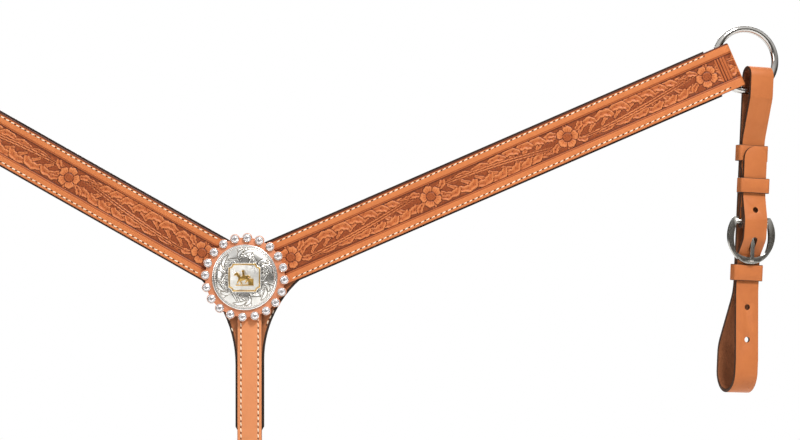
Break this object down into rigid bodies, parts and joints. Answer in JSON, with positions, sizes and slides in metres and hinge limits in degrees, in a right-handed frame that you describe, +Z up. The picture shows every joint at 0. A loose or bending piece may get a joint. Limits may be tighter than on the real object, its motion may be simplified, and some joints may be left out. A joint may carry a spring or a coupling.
{
  "type": "horse breast collar",
  "caption": "Y-shaped leather breast collar: two tooled arms, a jewelled concho at the joint, rings with buckled tugs at the ends, a drop strap with a swivel bolt snap.",
  "frame": {"origin": "on the concho's axis, at the back face of the centre patch that lies on the horse's chest", "axes": "+X to the right arm seen from the front, +Y back towards the horse, +Z up; the decorated front faces -Y"},
  "size_m": [0.9517, 0.061, 0.6779],
  "materials": {
    "tooled_leather": "carved and burnished russet harness leather",
    "lining_leather": "dark oiled leather with burnished edges",
    "smooth_leather": "smooth russet leather, waxed",
    "patch_leather": "soft dark leather",
    "nickel": "polished nickel plate",
    "brushed_nickel": "satin nickel",
    "silver": "bright engraved silver plate",
    "gold": "bright gold-tone trim",
    "crystal": "faceted clear crystal",
    "screw_steel": "zinc-plated steel",
    "spring_steel": "spring steel"
  },
  "bodies": {
    "collar": {"centre_patch": "patch_leather", "right_arm_face": "tooled_leather", "right_arm_lining": "lining_leather", "left_arm_face": "tooled_leather", "left_arm_lining": "lining_leather", "drop_strap": "smooth_leather", "fold_posts": "nickel", "fold_screws": "nickel", "rosette": "smooth_leather", "crystal_settings": "silver", "crystals": "crystal", "concho_shell": "silver", "concho_post": "screw_steel", "concho_washer": "screw_steel", "concho_screw": "screw_steel", "concho_plaque": "silver", "plaque_frame": "gold", "plaque_figure": "gold"},
    "snap_eye": {"snap_eye": "nickel"},
    "snap_body": {"snap_body": "nickel", "snap_spring": "spring_steel"},
    "snap_bolt": {"snap_bolt": "nickel"},
    "right_ring": {"right_ring": "nickel"},
    "right_tug": {"right_tug": "smooth_leather"},
    "right_buckle_frame": {"right_buckle_frame": "brushed_nickel"},
    "right_buckle_tongue": {"right_buckle_tongue": "brushed_nickel"},
    "right_upper_keeper": {"right_upper_keeper": "smooth_leather"},
    "right_middle_keeper": {"right_middle_keeper": "smooth_leather"},
    "right_lower_keeper": {"right_lower_keeper": "smooth_leather"},
    "left_ring": {"left_ring": "nickel"},
    "left_tug": {"left_tug": "smooth_leather"},
    "left_buckle_frame": {"left_buckle_frame": "brushed_nickel"},
    "left_buckle_tongue": {"left_buckle_tongue": "brushed_nickel"},
    "left_upper_keeper": {"left_upper_keeper": "smooth_leather"},
    "left_middle_keeper": {"left_middle_keeper": "smooth_leather"},
    "left_lower_keeper": {"left_lower_keeper": "smooth_leather"}
  },
  "joints": [
    {"name": "right_ring_turn", "type": "hinge", "parent": "collar", "child": "right_ring", "pos_m": [0.43477, -0.0005, 0.18904], "axis": [-0.3987, 0, 0.9171], "range_deg": [-28, 4]},
    {"name": "right_tug_swing", "type": "hinge", "parent": "right_ring", "child": "right_tug", "pos_m": [0.46744, 0.00487, 0.17601], "axis": [0.9552, 0.292, -0.0471], "range_deg": [-12, 12]},
    {"name": "right_buckle_tilt", "type": "hinge", "parent": "right_tug", "child": "right_buckle_frame", "pos_m": [0.46176, 0.00313, 0.05005], "axis": [0.9552, 0.292, -0.0471], "range_deg": [-1, 0]},
    {"name": "right_tongue_lift", "type": "hinge", "parent": "right_buckle_frame", "child": "right_buckle_tongue", "pos_m": [0.46176, 0.00313, 0.05005], "axis": [0.9552, 0.292, -0.0471], "range_deg": [-1, 0]},
    {"name": "right_upper_keeper_slide", "type": "slide", "parent": "right_tug", "child": "right_upper_keeper", "axis": [0.045, 0.0138, 0.9989], "range_m": [-0.004, 0.004]},
    {"name": "right_middle_keeper_slide", "type": "slide", "parent": "right_tug", "child": "right_middle_keeper", "axis": [0.045, 0.0138, 0.9989], "range_m": [-0.0035, 0.0025]},
    {"name": "right_lower_keeper_slide", "type": "slide", "parent": "right_tug", "child": "right_lower_keeper", "axis": [0.045, 0.0138, 0.9989], "range_m": [-0.004, 0]},
    {"name": "left_ring_turn", "type": "hinge", "parent": "collar", "child": "left_ring", "pos_m": [-0.41263, -0.0005, 0.23345], "axis": [-0.4924, 0, -0.8704], "range_deg": [-28, 4]},
    {"name": "left_tug_swing", "type": "hinge", "parent": "left_ring", "child": "left_tug", "pos_m": [-0.44668, 0.00481, 0.2238], "axis": [0.9552, -0.292, 0.0471], "range_deg": [-12, 12]},
    {"name": "left_buckle_tilt", "type": "hinge", "parent": "left_tug", "child": "left_buckle_frame", "pos_m": [-0.441, 0.00307, 0.09784], "axis": [0.9552, -0.292, 0.0471], "range_deg": [-1, 0]},
    {"name": "left_tongue_lift", "type": "hinge", "parent": "left_buckle_frame", "child": "left_buckle_tongue", "pos_m": [-0.441, 0.00307, 0.09784], "axis": [0.9552, -0.292, 0.0471], "range_deg": [-1, 0]},
    {"name": "left_upper_keeper_slide", "type": "slide", "parent": "left_tug", "child": "left_upper_keeper", "axis": [-0.045, 0.0138, 0.9989], "range_m": [-0.004, 0.004]},
    {"name": "left_middle_keeper_slide", "type": "slide", "parent": "left_tug", "child": "left_middle_keeper", "axis": [-0.045, 0.0138, 0.9989], "range_m": [-0.0035, 0.0025]},
    {"name": "left_lower_keeper_slide", "type": "slide", "parent": "left_tug", "child": "left_lower_keeper", "axis": [-0.045, 0.0138, 0.9989], "range_m": [-0.004, 0]},
    {"name": "snap_eye_swing", "type": "hinge", "parent": "collar", "child": "snap_eye", "pos_m": [0.004, -0.0029, -0.33], "axis": [1, 0, 0], "range_deg": [-40, 40]},
    {"name": "snap_swivel", "type": "hinge", "parent": "snap_eye", "child": "snap_body", "pos_m": [0.004, -0.0029, -0.3497], "axis": [0, 0, 1], "continuous": true},
    {"name": "snap_bolt_slide", "type": "slide", "parent": "snap_body", "child": "snap_bolt", "axis": [0, 0, 1], "range_m": [0, 0.008], "stiffness_N_per_m": 400, "springref_m": -0.002, "deforming": ["snap_spring"]}
  ]
}
